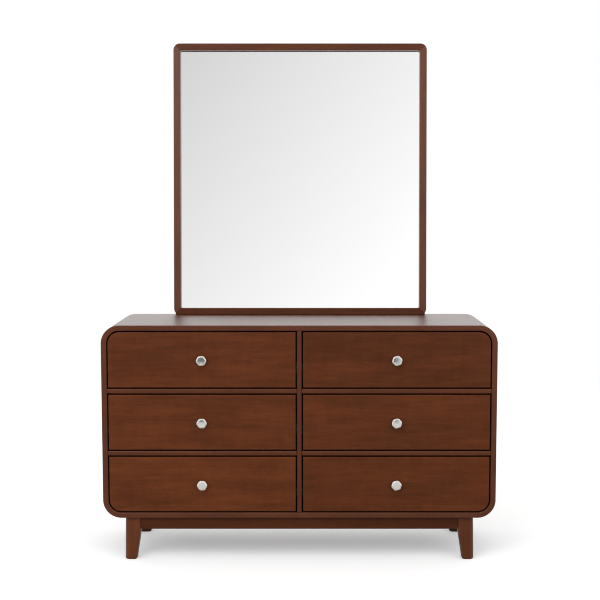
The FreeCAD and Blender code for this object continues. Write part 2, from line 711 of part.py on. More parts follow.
ring = new_body("moulded mirror ring")
ring_face = front_view(ring)
rounded_rectangle(
    ring_face, "-mirror_width / 2", "0", "mirror_width / 2", "mirror_height", ["frame_corner"] * 4,
)
rounded_rectangle(
    ring_face, "-mirror_width / 2 + frame_face", "frame_face",
    "mirror_width / 2 - frame_face", "mirror_height - frame_face", ["sight_corner"] * 4,
)
pad(ring, ring_face, "frame_depth", reverse=True)
dress(ring, "Chamfer", "frame_ease", lambda box: box.YMax < TINY)
rebate = front_view(ring, "glass_setback")
cover = "(frame_face - glass_rebate)"
rectangle(
    rebate, f"-mirror_width / 2 + {cover}", cover, f"mirror_width / 2 - {cover}", f"mirror_height - {cover}",
)
pocket(ring, rebate, "frame_depth - glass_setback")
# The underside is planed level, so that the leaning frame stands flat on the case.
foot = side_view(ring)
outline(foot, [("0", "0"), ("frame_depth", "0"), ("frame_depth", "frame_depth * tan(mirror_lean)")])
pocket(ring, foot, "mirror_width", middle=True)


def mitred(label, corners):
    """One member of the ring, between its two mitres. The corners lie clear of the ring, on the mitre lines."""
    wedge = new_body(f"{label} between its mitres")
    face = front_view(wedge)
    outline(face, corners)
    pad(wedge, face, "3 * frame_depth", middle=True)
    common = doc.addObject("Part::Common", "Common")
    common.Base = ring
    common.Tool = wedge
    common.Label = label
    lean_back(common)
    nodes.append(common)


half = "mirror_width / 2"
inset = "(frame_face + sight_corner)"
spread = "frame_face"
outer_low = f"-{spread}"
outer_high = f"mirror_height + {spread}"
outer_left = f"-{half} - {spread}"
outer_right = f"{half} + {spread}"
inner_low = inset
inner_high = f"mirror_height - {inset}"
inner_left = f"-{half} + {inset}"
inner_right = f"{half} - {inset}"
mitred("mirror_bottom_rail", [
    (outer_left, outer_low), (outer_right, outer_low), (inner_right, inner_low), (inner_left, inner_low),
])
mitred("mirror_top_rail", [
    (outer_left, outer_high), (outer_right, outer_high), (inner_right, inner_high), (inner_left, inner_high),
])
mitred("mirror_left_stile", [
    (outer_left, outer_low), (inner_left, inner_low), (inner_left, inner_high), (outer_left, outer_high),
])
mitred("mirror_right_stile", [
    (outer_right, outer_low), (inner_right, inner_low), (inner_right, inner_high), (outer_right, outer_high),
])


def mirror_sheet(label, start, thickness):
    body = new_body(label)
    face = front_view(body, start)
    rectangle(
        face, f"-mirror_width / 2 + {GLASS_EDGE}", GLASS_EDGE,
        f"mirror_width / 2 - {GLASS_EDGE}", f"mirror_height - {GLASS_EDGE}",
    )
    pad(body, face, thickness, reverse=True)
    lean_back(body)
    nodes.append(body)


mirror_sheet("mirror_glass", "glass_setback", "glass_thickness")
mirror_sheet("mirror_backboard", "glass_setback + glass_thickness", "backboard_thickness")

# ---------------------------------------------------------------- mirror supports
# Each support is sawn from one board. Its own origin lies on its front face, at the bend, which is level with
# the case top.
def raked(along, behind):
    """A point of the upper stretch, by its place along the raked front face and behind it."""
    return (
        f"({along}) * sin(mirror_lean) + ({behind}) * cos(mirror_lean)",
        f"({along}) * cos(mirror_lean) - ({behind}) * sin(mirror_lean)",
    )


for side, sign in SIDES.items():
    support = new_body(f"mirror_support_{side}")
    profile = side_view(support)
    outline(profile, [
        ("0", "-support_lower"),
        ("support_thickness - support_bevel", "-support_lower"),
        ("support_thickness", "-support_lower + support_bevel"),
        ("support_thickness", "-support_thickness * tan(mirror_lean / 2)"),
        raked("support_upper - support_bevel", "support_thickness"),
        raked("support_upper", "support_thickness - support_bevel"),
        raked("support_upper", "0"),
        ("0", "0"),
    ])
    pad(support, profile, "support_width", middle=True)
    middle = f"{sign}(mirror_width / 2 - support_inset - support_width / 2)"
    place(support, middle, "front_plane + case_depth", CASE_TOP)
    nodes.append(support)


# ---------------------------------------------------------------- checks and files
doc.recompute()
for item in doc.Objects:
    if "Invalid" in item.State or "Error" in item.State:
        raise RuntimeError(f"{item.Label} ({item.Name}) failed: {item.State}")
    if item.isDerivedFrom("PartDesign::Pocket"):
        before = item.BaseFeature.Shape.Volume
        if item.Shape.Volume > before - 1:
            raise RuntimeError(f"{item.Name} in {item.getParentGeoFeatureGroup().Label} cuts nothing")
for node in nodes:
    if node.Shape.isNull() or not node.Shape.isValid() or not node.Shape.Solids:
        raise RuntimeError(f"{node.Label} has no valid shape")

os.makedirs("parts", exist_ok=True)
for node in nodes:
    node.Shape.exportStep(f"parts/{node.Label}.step")
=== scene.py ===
import bmesh
import bpy
import math
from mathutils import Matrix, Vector


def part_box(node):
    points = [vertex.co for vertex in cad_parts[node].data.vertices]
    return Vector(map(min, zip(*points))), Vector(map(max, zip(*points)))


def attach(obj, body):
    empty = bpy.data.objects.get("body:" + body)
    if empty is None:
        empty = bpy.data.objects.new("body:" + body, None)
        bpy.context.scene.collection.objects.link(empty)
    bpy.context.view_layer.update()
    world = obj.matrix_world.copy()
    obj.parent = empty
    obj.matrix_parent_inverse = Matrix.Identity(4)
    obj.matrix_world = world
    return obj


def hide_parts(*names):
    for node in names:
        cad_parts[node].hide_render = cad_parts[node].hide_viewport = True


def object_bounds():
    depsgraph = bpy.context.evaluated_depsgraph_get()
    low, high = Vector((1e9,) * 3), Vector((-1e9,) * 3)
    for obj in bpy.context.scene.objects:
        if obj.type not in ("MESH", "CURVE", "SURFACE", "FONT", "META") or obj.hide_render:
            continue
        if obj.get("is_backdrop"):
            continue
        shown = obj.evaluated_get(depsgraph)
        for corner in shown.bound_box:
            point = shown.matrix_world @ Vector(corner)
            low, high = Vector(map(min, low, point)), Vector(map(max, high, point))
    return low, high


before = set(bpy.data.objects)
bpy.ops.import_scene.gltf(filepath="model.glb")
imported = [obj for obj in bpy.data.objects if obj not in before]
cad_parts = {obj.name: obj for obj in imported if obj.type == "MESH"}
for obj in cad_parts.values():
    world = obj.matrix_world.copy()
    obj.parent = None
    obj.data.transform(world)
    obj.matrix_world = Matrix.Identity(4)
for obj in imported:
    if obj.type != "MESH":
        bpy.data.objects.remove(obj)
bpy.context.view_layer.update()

# ---------------------------------------------------------------- viewpoint
# A long lens on a stand, four metres in front of the dresser and a little to the right of its middle, with
# the picture moved across to suit. It looks down a little, so that the case top shows as a narrow band.
lens_place = Vector((0.0403, -4.3094, 1.2985))
lens_pitch = math.radians(5.08)
picture_shift = -0.0178
lens_length = 70.03
furthest_seen = 60
picture_softness = 1.1

camera = bpy.data.objects.new("viewpoint", bpy.data.cameras.new("viewpoint"))
camera.data.lens = lens_length
camera.data.clip_end = furthest_seen
camera.location = lens_place
camera.data.shift_x = picture_shift
camera.rotation_euler = (math.radians(90) - lens_pitch, 0, 0)
bpy.context.scene.collection.objects.link(camera)
bpy.context.scene.camera = camera
bpy.context.scene.view_settings.view_transform = "Standard"
bpy.context.scene.cycles.use_denoising = True
bpy.context.scene.cycles.filter_width = picture_softness


# ---------------------------------------------------------------- studio
# A white room: a pale matt floor that fades into the white round it, a large soft box overhead, one on each
# side in front and a weak one behind. A screen behind the camera, falling off to the left and upwards, is
# what the mirror shows. The darker lower part of the room shows in the knobs and the lacquer alone.
def add(tree, kind, inputs=None, **settings):
    """A shader node. An input takes a value, or another node's output, which is linked to it."""
    made = tree.nodes.new("ShaderNode" + kind)
    for name, choice in settings.items():
        setattr(made, name, choice)
    for name, content in (inputs or {}).items():
        if isinstance(content, bpy.types.NodeSocket):
            tree.links.new(content, made.inputs[name])
        else:
            made.inputs[name].default_value = content
    return made


def reckon(tree, operation, *terms, clamp=False):
    """A sum of numbers in a shader."""
    return add(tree, "Math", dict(enumerate(terms)), operation=operation, use_clamp=clamp).outputs[0]


def eased(tree, number, limits):
    """Nought up to the first limit, one from the second on, and a soft rise between them."""
    reach = {"Value": number, 1: limits[0], 2: limits[1]}
    return add(tree, "MapRange", reach, interpolation_type="SMOOTHSTEP").outputs["Result"]


def tint(tree, share, first, second, blend_type="MIX"):
    """Two colours mixed in a shader."""
    mixing = add(tree, "Mix", {0: share, 6: first, 7: second}, data_type="RGBA", blend_type=blend_type)
    return mixing.outputs[2]


def blank_material(name):
    """A material with nothing in it but its output."""
    material = bpy.data.materials.new(name)
    material.use_nodes = True
    material.node_tree.nodes.clear()
    return material, material.node_tree, material.node_tree.nodes.new("ShaderNodeOutputMaterial")


pure_white = (1, 1, 1, 1)
floor_radius = 6.0
floor_sides = 96
floor_white = (0.87, 0.87, 0.87, 1)
floor_dull = (0.20, 0.19, 0.18, 1)
floor_roughness = 0.9
floor_fades = (3.0, 4.8)

# The camera and the mirror see the floor with a glow of its own. A blurred reflection sees a share of that,
# and the light that the floor throws back comes from a duller paint.
floor_glow = 0.295
floor_gleam = 0.465

floor_mesh = bmesh.new()
bmesh.ops.create_circle(floor_mesh, cap_ends=True, segments=floor_sides, radius=floor_radius)
floor_data = bpy.data.meshes.new("floor")
floor_mesh.to_mesh(floor_data)
floor_mesh.free()
floor = bpy.data.objects.new("floor", floor_data)
bpy.context.scene.collection.objects.link(floor)

floor_finish, tree, output = blank_material("floor_paint")
spot = add(tree, "TexCoord").outputs["Object"]
away = add(tree, "VectorMath", {0: spot}, operation="LENGTH").outputs["Value"]
matt = {"Roughness": floor_roughness, "Specular IOR Level": 0.0}
paint = add(tree, "BsdfPrincipled", {
    **matt, "Base Color": floor_white, "Emission Color": pure_white, "Emission Strength": floor_glow,
})
dull = add(tree, "BsdfPrincipled", {**matt, "Base Color": floor_dull})
rays = add(tree, "LightPath").outputs
shown = reckon(tree, "MULTIPLY_ADD", rays["Is Glossy Ray"], floor_gleam, rays["Is Camera Ray"])
shown = reckon(tree, "MAXIMUM", shown, rays["Is Singular Ray"])
surface = add(tree, "MixShader", {0: shown, 1: dull.outputs[0], 2: paint.outputs[0]})
clear = add(tree, "BsdfTransparent")
fade = eased(tree, away, floor_fades)
cover = add(tree, "MixShader", {0: fade, 1: surface.outputs[0], 2: clear.outputs[0]})
tree.links.new(cover.outputs[0], output.inputs["Surface"])
floor_data.materials.append(floor_finish)
floor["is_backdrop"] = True

# How bright the screen, the dome above it, the soft light and the far side are. Each has a level, and a
# rise upwards, to the right, to the rear or to both sides.
screen_level = 1.045
screen_rise = -0.93
screen_right = 1.15
screen_edges = (0.86, 0.94)
dome_level = 0.93
dome_rise = -0.25
dome_rear = -0.05
soft_level = 1.03
soft_rise = -0.33
soft_rear = -0.24
far_level = 0.18
far_sides = 8.0
far_least = 0.12
far_most = 0.90
far_tint = (0.94, 1.0, 1.1, 1)

room = bpy.data.worlds.new("white_room")
bpy.context.scene.world = room
room.use_nodes = True
tree = room.node_tree
tree.nodes.clear()
ways = add(tree, "SeparateXYZ", {0: add(tree, "TexCoord").outputs["Generated"]}).outputs
screen = reckon(tree, "MULTIPLY_ADD", ways["Z"], screen_rise, screen_level)
screen = reckon(tree, "MULTIPLY_ADD", ways["X"], screen_right, screen)
dome = reckon(tree, "MULTIPLY_ADD", ways["Z"], dome_rise, dome_level)
dome = reckon(tree, "MULTIPLY_ADD", ways["Y"], dome_rear, dome)
soft = reckon(tree, "MULTIPLY_ADD", ways["Z"], soft_rise, soft_level)
soft = reckon(tree, "MULTIPLY_ADD", ways["Y"], soft_rear, soft)
behind = eased(tree, reckon(tree, "MULTIPLY", ways["Y"], -1.0), screen_edges)
glow = add(tree, "Mix", {0: behind, 2: dome, 3: screen}).outputs[0]
far = reckon(tree, "MULTIPLY_ADD", ways["X"], far_sides, screen_right)
far = reckon(tree, "MULTIPLY_ADD", ways["X"], far, far_level)
far = reckon(tree, "MINIMUM", reckon(tree, "MAXIMUM", far, far_least), far_most)
far = tint(tree, 1.0, far, tint(tree, far, far_tint, pure_white), "MULTIPLY")
rays = add(tree, "LightPath").outputs
above = reckon(tree, "GREATER_THAN", ways["Z"], 0.0)
above = reckon(tree, "MAXIMUM", above, rays["Is Singular Ray"])
gleam = add(tree, "Background", {"Color": tint(tree, above, far, glow)})
fill = add(tree, "Background", {"Color": soft})
white = add(tree, "Background", {"Color": pure_white})
mixed = add(tree, "MixShader", {0: rays["Is Diffuse Ray"], 1: gleam.outputs[0], 2: fill.outputs[0]})
mixed = add(tree, "MixShader", {0: rays["Is Camera Ray"], 1: mixed.outputs[0], 2: white.outputs[0]})
tree.links.new(mixed.outputs[0], add(tree, "OutputWorld").inputs["Surface"])


def soft_box(name, place, aim, width, height, power):
    """A square lamp with a white cloth front, turned to face a point."""
    lamp = bpy.data.lights.new(name, "AREA")
    lamp.shape = "RECTANGLE"
    lamp.size = width
    lamp.size_y = height
    lamp.energy = power
    stand = bpy.data.objects.new(name, lamp)
    stand.location = place
    stand.rotation_euler = (Vector(aim) - Vector(place)).to_track_quat("-Z", "Y").to_euler()
    bpy.context.scene.collection.objects.link(stand)


# Where each box stands, the point that it faces, its width and height, and its power in watts.
soft_boxes = {
    "high_box": ((-0.3, -3.0, 4.1), (0.0, -0.2, 0.4), 3.2, 1.4, 32),
    "left_box": ((-2.1, -3.7, 3.0), (0.0, -0.2, 0.4), 2.0, 2.0, 44),
    "right_box": ((2.8, -3.6, 2.6), (0.0, -0.2, 0.5), 1.5, 1.5, 14),
    "rear_box": ((0.0, 2.6, 2.4), (0.0, 0.0, 0.0), 3.2, 1.4, 10),
}
for name, set_up in soft_boxes.items():
    soft_box(name, *set_up)


# ---------------------------------------------------------------- case
# Eight boards make a rounded box: four flat panels and four quarter-round corner pieces, glued edge to
# edge. One walnut veneer runs round all of them under a satin lacquer. Their front edges are rounded over,
# and their inner sides are painted near-black, a painted shade that keeps the gaps round the drawers dark.
def new_effect(name, takes, gives):
    """A shader node group with named inputs and outputs."""
    kinds = {"vector": "NodeSocketVector", "number": "NodeSocketFloat", "colour": "NodeSocketColor"}
    effect = bpy.data.node_groups.new(name, "ShaderNodeTree")
    for title, kind in takes.items():
        effect.interface.new_socket(name=title, in_out="INPUT", socket_type=kinds[kind])
    for title, kind in gives.items():
        effect.interface.new_socket(name=title, in_out="OUTPUT", socket_type=kinds[kind])
    return effect, effect.nodes.new("NodeGroupInput"), effect.nodes.new("NodeGroupOutput")


def streaked(tree, way, along, across, detail, roughness):
    """Noise that is drawn out along the grain."""
    drawn = add(tree, "VectorMath", {0: way, 1: (along, across, across)}, operation="MULTIPLY")
    noise = add(tree, "TexNoise", {
        "Vector": drawn.outputs["Vector"], "Scale": 1.0, "Detail": detail, "Roughness": roughness,
    })
    return noise


def spread(tree, number, low, high, to_low=0.0, to_high=1.0):
    """A number's range stretched to another range."""
    limits = {"Value": number, 1: low, 2: high, 3: to_low, 4: to_high}
    return add(tree, "MapRange", limits).outputs["Result"]


# The layers of straight grain: how dense they are along and across it, their detail and roughness, and the
# two values between which they show. The weights say how much each adds to the wood's colour.
grain_layers = {
    "patches": (3.6, 19.0, 3, 0.55, 0.34, 0.66),
    "streaks": (6.5, 80.0, 5, 0.65, 0.30, 0.70),
    "fibres": (30.0, 640.0, 3, 0.6, 0.30, 0.70),
    "pores": (60.0, 1900.0, 1, 0.5, 0.60, 0.74),
    "mottle": (34.0, 12.0, 2, 0.5, 0.35, 0.65),
}
layer_weights = {"patches": 0.42, "streaks": 0.42, "mottle": 0.12, "fibres": 0.12}
waver_noise = (1.4, 5.0, 2, 0.5)
waver_reach = (0.0, 0.05, 0.05)
pore_darkness = 0.55
pore_depth = -0.7
satin = (0.27, 0.36)

# Straight grain, shared by every wooden piece. It wavers a little, as the tree grew.
straight_grain, takes, gives = new_effect(
    "straight_grain",
    {"Grain": "vector", "Light": "colour", "Dark": "colour", "Pore": "colour", "Figure": "number"},
    {"Color": "colour", "Roughness": "number", "Height": "number"},
)
tree = straight_grain
grain = takes.outputs["Grain"]
waver = streaked(tree, grain, *waver_noise)
sway = add(tree, "VectorMath", {0: waver.outputs["Color"], 1: (0.5, 0.5, 0.5)}, operation="SUBTRACT")
bend = add(tree, "VectorMath", {0: sway.outputs["Vector"], 1: waver_reach}, operation="MULTIPLY")
flow = add(tree, "VectorMath", {0: grain, 1: bend.outputs["Vector"]}, operation="ADD").outputs["Vector"]
layers = {}
for title, (along, across, detail, roughness, least, most) in grain_layers.items():
    noise = streaked(tree, flow, along, across, detail, roughness)
    layers[title] = spread(tree, noise.outputs["Fac"], least, most)
shade = 0.0
for title, weight in layer_weights.items():
    shade = reckon(tree, "MULTIPLY_ADD", layers[title], weight, shade)
shade = reckon(tree, "SUBTRACT", shade, 0.5)
shade = reckon(tree, "MULTIPLY_ADD", shade, takes.outputs["Figure"], 0.5, clamp=True)
wood = tint(tree, shade, takes.outputs["Light"], takes.outputs["Dark"])
wood = tint(tree, reckon(tree, "MULTIPLY", layers["pores"], pore_darkness), wood, takes.outputs["Pore"])
height = reckon(tree, "MULTIPLY_ADD", layers["pores"], pore_depth, layers["fibres"])
tree.links.new(wood, gives.inputs["Color"])
tree.links.new(spread(tree, layers["fibres"], 0.0, 1.0, *satin), gives.inputs["Roughness"])
tree.links.new(height, gives.inputs["Height"])

# The veneer's own way round the case. X is the length run along it, from the middle of the top, where both
# halves start, to the middle of the bottom, where they meet. Y goes from front to back, and Z is the depth
# from the corners' centres outwards.
veneer_wrap, takes, gives = new_effect(
    "veneer_wrap",
    {"Place": "vector", "Middle Height": "number", "Flat Width": "number", "Flat Height": "number",
     "Radius": "number"},
    {"Grain": "vector"},
)
tree = veneer_wrap
place = add(tree, "SeparateXYZ", {0: takes.outputs["Place"]}).outputs
flat_x = takes.outputs["Flat Width"]
flat_z = takes.outputs["Flat Height"]
radius = takes.outputs["Radius"]
upward = reckon(tree, "SUBTRACT", place["Z"], takes.outputs["Middle Height"])
out_x = reckon(tree, "ABSOLUTE", place["X"])
out_z = reckon(tree, "ABSOLUTE", upward)
past_x = reckon(tree, "MAXIMUM", reckon(tree, "SUBTRACT", out_x, flat_x), 0.0)
past_z = reckon(tree, "MAXIMUM", reckon(tree, "SUBTRACT", out_z, flat_z), 0.0)
turn = reckon(tree, "ARCTAN2", past_x, past_z)
on_top = reckon(tree, "MINIMUM", out_x, flat_x)
on_side = reckon(tree, "SUBTRACT", flat_z, reckon(tree, "MINIMUM", out_z, flat_z))
run = reckon(tree, "ADD", reckon(tree, "MULTIPLY_ADD", turn, radius, on_top), on_side)
half_way = reckon(tree, "MULTIPLY_ADD", radius, math.pi / 2, reckon(tree, "ADD", flat_x, flat_z))
still_to_go = reckon(tree, "SUBTRACT", half_way, run)
lower_half = reckon(tree, "LESS_THAN", upward, 0.0)
run = reckon(tree, "MULTIPLY_ADD", reckon(tree, "MULTIPLY", still_to_go, 2.0), lower_half, run)
run = reckon(tree, "MULTIPLY", run, reckon(tree, "SIGN", place["X"]))
square_x = reckon(tree, "POWER", past_x, 2.0)
square_z = reckon(tree, "POWER", past_z, 2.0)
depth = reckon(tree, "SQRT", reckon(tree, "ADD", square_x, square_z))
unrolled = add(tree, "CombineXYZ", {"X": run, "Y": place["Y"], "Z": depth})
tree.links.new(unrolled.outputs[0], gives.inputs["Grain"])

# Painted shade: near-black inside the case and on the edges of the fronts, so that the gaps round the
# drawers stay dark. It starts just behind the front, over the two distances, and covers the wood by its
# share.
gap_shade_colour = (0.014, 0.0035, 0.0018, 1)
gap_shade_starts = (0.0012, 0.0034)
gap_shade_share = 0.85
case_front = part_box("top_panel")[0].y
painted_gap_shade, takes, gives = new_effect(
    "painted_gap_shade",
    {"Color": "colour", "Place": "vector", "Front": "number", "Inside": "number"},
    {"Color": "colour"},
)
tree = painted_gap_shade
place = add(tree, "SeparateXYZ", {0: takes.outputs["Place"]}).outputs
behind = reckon(tree, "SUBTRACT", place["Y"], takes.outputs["Front"])
share = spread(tree, behind, *gap_shade_starts, 0.0, gap_shade_share)
share = reckon(tree, "MULTIPLY", share, takes.outputs["Inside"])
tree.links.new(tint(tree, share, takes.outputs["Color"], gap_shade_colour), gives.inputs["Color"])

walnut_light = (0.140, 0.0375, 0.0122, 1)
walnut_dark = (0.082, 0.0228, 0.0074, 1)
walnut_pore = (0.037, 0.0100, 0.0037, 1)
coat_index = 1.65
even_slant = 0.5
grain_relief = {"Strength": 0.12, "Distance": 0.0002}


def shaded(colour, share):
    """A colour made lighter or darker."""
    return (colour[0] * share, colour[1] * share, colour[2] * share, 1)


def with_gap_shade(tree, colour, inside):
    """The colour with the painted gap shade over it, by as much as inside says."""
    spot = add(tree, "TexCoord").outputs["Object"]
    within = {"Color": colour, "Place": spot, "Front": case_front, "Inside": inside(tree)}
    return add(tree, "Group", within, node_tree=painted_gap_shade).outputs["Color"]


def wooden(
    name, grain_of, light, dark, pore, figure=1.0, shine=0.10, gloss=0.0, blur=0.34, slants=(0.04, 0.30),
    inside=None,
):
    """
    Wood with straight grain. grain_of makes the vector whose X runs along the grain. gloss is the weight of
    the coat past the second of the two slants; before the first it has none. inside says where the painted
    gap shade lies.
    """
    material, tree, output = blank_material(name)
    wood = add(tree, "Group", node_tree=straight_grain)
    tree.links.new(grain_of(tree), wood.inputs["Grain"])
    wood.inputs["Light"].default_value = light
    wood.inputs["Dark"].default_value = dark
    wood.inputs["Pore"].default_value = pore
    wood.inputs["Figure"].default_value = figure
    bump = add(tree, "Bump", {**grain_relief, "Height": wood.outputs["Height"]})
    colour = wood.outputs["Color"]
    # Painted gap shade over the wood, where inside says.
    if inside:
        colour = with_gap_shade(tree, colour, inside)
    finish = add(tree, "BsdfPrincipled", {
        "Base Color": colour, "Roughness": wood.outputs["Roughness"],
        "Specular IOR Level": shine, "Normal": bump.outputs["Normal"],
    })
    if gloss:
        slant = add(tree, "LayerWeight", {"Blend": even_slant}).outputs["Facing"]
        tree.links.new(spread(tree, slant, *slants, 0.0, gloss), finish.inputs["Coat Weight"])
        finish.inputs["Coat Roughness"].default_value = blur
        finish.inputs["Coat IOR"].default_value = coat_index
    tree.links.new(finish.outputs[0], output.inputs["Surface"])
    return material


def lacquered(name, grain_of, depth, gloss=0.2, **looks):
    """Walnut under satin lacquer. depth makes it lighter or darker."""
    light = shaded(walnut_light, depth)
    dark = shaded(walnut_dark, depth)
    return wooden(name, grain_of, light, dark, walnut_pore, gloss=gloss, **looks)


def grain_along(axis, start=(0.0, 0.0, 0.0)):
    """Grain along X, Y or Z. start picks the stretch of the log or sheet that the board was cut from."""
    turns = {"X": (0, 0, 0), "Y": (0, 0, -math.pi / 2), "Z": (0, math.pi / 2, 0)}

    def make(tree):
        spot = add(tree, "TexCoord").outputs["Object"]
        moved = add(tree, "VectorMath", {0: spot, 1: start}, operation="ADD").outputs["Vector"]
        return add(tree, "Mapping", {"Vector": moved, "Rotation": turns[axis]}).outputs["Vector"]

    return make


def grain_round_case(tree):
    """The veneer that runs round the case."""
    wrap = add(tree, "Group", {
        "Place": add(tree, "TexCoord").outputs["Object"],
        "Middle Height": case_middle, "Flat Width": case_flat, "Flat Height": case_rise,
        "Radius": case_radius,
    }, node_tree=veneer_wrap)
    return wrap.outputs["Grain"]


def mesh_piece(name, corners, faces):
    """An object from corners and faces, with its faces turned outwards."""
    work = bmesh.new()
    spots = [work.verts.new(corner) for corner in corners]
    for face in faces:
        work.faces.new([spots[i] for i in face])
    bmesh.ops.recalc_face_normals(work, faces=work.faces)
    data = bpy.data.meshes.new(name)
    work.to_mesh(data)
    work.free()
    piece = bpy.data.objects.new(name, data)
    bpy.context.scene.collection.objects.link(piece)
    return piece


def smooth(piece, sharp_from=40):
    """Shades a piece smoothly, with its large flat faces kept flat and its sharp edges kept sharp."""
    piece.data.shade_smooth()
    piece.data.set_sharp_from_angle(angle=math.radians(sharp_from))
    normals = piece.modifiers.new("normals", "WEIGHTED_NORMAL")
    normals.keep_sharp = True


def lofted(name, rings):
    """A closed piece through rings of equally many corners, flat at its two ends."""
    count = len(rings[0])
    corners = [corner for ring in rings for corner in ring]
    faces = []
    for step in range(len(rings) - 1):
        first = step * count
        for i in range(count):
            j = (i + 1) % count
            faces.append([first + i, first + j, first + count + j, first + count + i])
    faces.append(list(range(count))[::-1])
    faces.append(list(range(len(corners) - count, len(corners))))
    return mesh_piece(name, corners, faces)


def arc(centre, radius, start, end, steps):
    """Points of an arc, in degrees."""
    angles = [math.radians(start + (end - start) * i / steps) for i in range(steps + 1)]
    return [(centre[0] + radius * math.cos(a), centre[1] + radius * math.sin(a)) for a in angles]


case_radius = 0.065
board = 0.020
inner_round = 0.0044
outer_round = 0.0026
rear_round = 0.0006
rebate_width = 0.010
rebate_depth = 0.006
corner_steps = 20
front_steps = 7
rear_steps = 2

case_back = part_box("top_panel")[1].y
case_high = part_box("top_panel")[1].z
case_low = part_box("bottom_panel")[0].z
case_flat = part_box("top_panel")[1].x
case_middle = (case_high + case_low) / 2
case_rise = case_high - case_radius - case_middle
inner_radius = case_radius - board

# The section of every case board, as (front to back, outwards): rounded in front, rebated behind.
case_section = (
    arc((case_front + inner_round, inner_radius + inner_round), inner_round, 270, 180, front_steps)
    + arc((case_front + outer_round, case_radius - outer_round), outer_round, 180, 90, front_steps)
    + arc((case_back - rear_round, case_radius - rear_round), rear_round, 90, 0, rear_steps)
    + [
        (case_back, inner_radius + rebate_width),
        (case_back - rebate_depth, inner_radius + rebate_width),
        (case_back - rebate_depth, inner_radius),
    ]
)


# How far into a case board's inner side the painted gap shade reaches.
gap_shade_thickness = 0.002


def within_case(tree):
    """The side of a case board that faces inwards, under the painted gap shade."""
    depth = add(tree, "SeparateXYZ", {0: grain_round_case(tree)}).outputs["Z"]
    return reckon(tree, "LESS_THAN", depth, inner_radius + gap_shade_thickness)


veneer = lacquered(
    "walnut_veneer_round_case", grain_round_case, depth=0.91, gloss=1.0, shine=0.26, blur=0.50,
    slants=(0.72, 0.88), inside=within_case,
)


def case_board(node, stations):
    """One board of the case, through stations of x, z and the angle that it faces, from upwards."""
    rings = []
    for x, z, angle in stations:
        out_x = math.sin(math.radians(angle))
        out_z = math.cos(math.radians(angle))
        rings.append([(x + d * out_x, y, z + d * out_z) for y, d in case_section])
    piece = lofted(f"veneered_{node}", rings)
    smooth(piece)
    piece.data.materials.append(veneer)
    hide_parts(node)
    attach(piece, "dresser")


upper_centre = case_middle + case_rise
lower_centre = case_middle - case_rise
case_board("top_panel", [(-case_flat, upper_centre, 0), (case_flat, upper_centre, 0)])
case_board("right_side_panel", [(case_flat, upper_centre, 90), (case_flat, lower_centre, 90)])
case_board("bottom_panel", [(case_flat, lower_centre, 180), (-case_flat, lower_centre, 180)])
case_board("left_side_panel", [(-case_flat, lower_centre, 270), (-case_flat, upper_centre, 270)])
quarter_turns = {
    "top_right_corner": (case_flat, upper_centre, 0),
    "bottom_right_corner": (case_flat, lower_centre, 90),
    "bottom_left_corner": (-case_flat, lower_centre, 180),
    "top_left_corner": (-case_flat, upper_centre, 270),
}
for node, (x, z, start) in quarter_turns.items():
    case_board(node, [(x, z, start + 90 * i / corner_steps) for i in range(corner_steps + 1)])


# ---------------------------------------------------------------- partition and rails
# An upright and four short rails of solid walnut divide the case into six spaces. They are let into the
# case boards and lie flush with its front, with their edges rounded over like the case.
paper_easing = 0.0004
weld_reach = 0.00002
flat_within = math.radians(0.5)
arris_from = math.radians(30)


def cad_piece(node, finish, easing=paper_easing, rounds=2):
    """Finishes a solid as it stands: its material, and its arrises taken off with fine paper."""
    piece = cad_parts[node]
    for slot in piece.material_slots:
        slot.material = finish
    piece.data.shade_smooth()
    weld = piece.modifiers.new("weld", "WELD")
    weld.merge_threshold = weld_reach
    flats = piece.modifiers.new("flats", "DECIMATE")
    flats.decimate_type = "DISSOLVE"
    flats.angle_limit = flat_within
    arrises = piece.modifiers.new("arrises", "BEVEL")
    arrises.width = easing
    arrises.segments = rounds
    arrises.angle_limit = arris_from
    normals = piece.modifiers.new("normals", "WEIGHTED_NORMAL")
    normals.keep_sharp = False


def all_over(tree):
    """The whole of a board, which takes the painted gap shade all over behind its front."""
    return 1.0


divider_easing = 0.0023
# The upright and the rails are painted near-black behind their front faces: painted shade in the gaps.
divider_looks = {"depth": 0.90, "shine": 0.21, "gloss": 0.05, "inside": all_over}
upright_wood = lacquered("walnut_partition", grain_along("Z", (0.31, 0.0, 0.0)), **divider_looks)
rail_wood = lacquered("walnut_rails", grain_along("X", (0.0, 0.07, 0.0)), **divider_looks)
cad_piece("centre_partition", upright_wood, divider_easing, rounds=3)
cad_piece("drawer_rails", rail_wood, divider_easing, rounds=3)


# ---------------------------------------------------------------- back
# A plywood sheet lies in the rebate round the case, held by steel panel pins. Two pairs of pine rails are
# screwed in before it, under the top and level with the upper drawer rails, and carry the mirror supports.
ply_light = (0.47, 0.31, 0.175, 1)
ply_dark = (0.37, 0.235, 0.125, 1)
ply_pore = (0.24, 0.145, 0.07, 1)
pine_light = (0.56, 0.39, 0.21, 1)
pine_dark = (0.44, 0.27, 0.125, 1)
pine_pore = (0.30, 0.17, 0.075, 1)
raw_shine = 0.25


def plywood(name, grain_of):
    """Bare plywood."""
    return wooden(name, grain_of, ply_light, ply_dark, ply_pore, figure=0.8, shine=raw_shine)


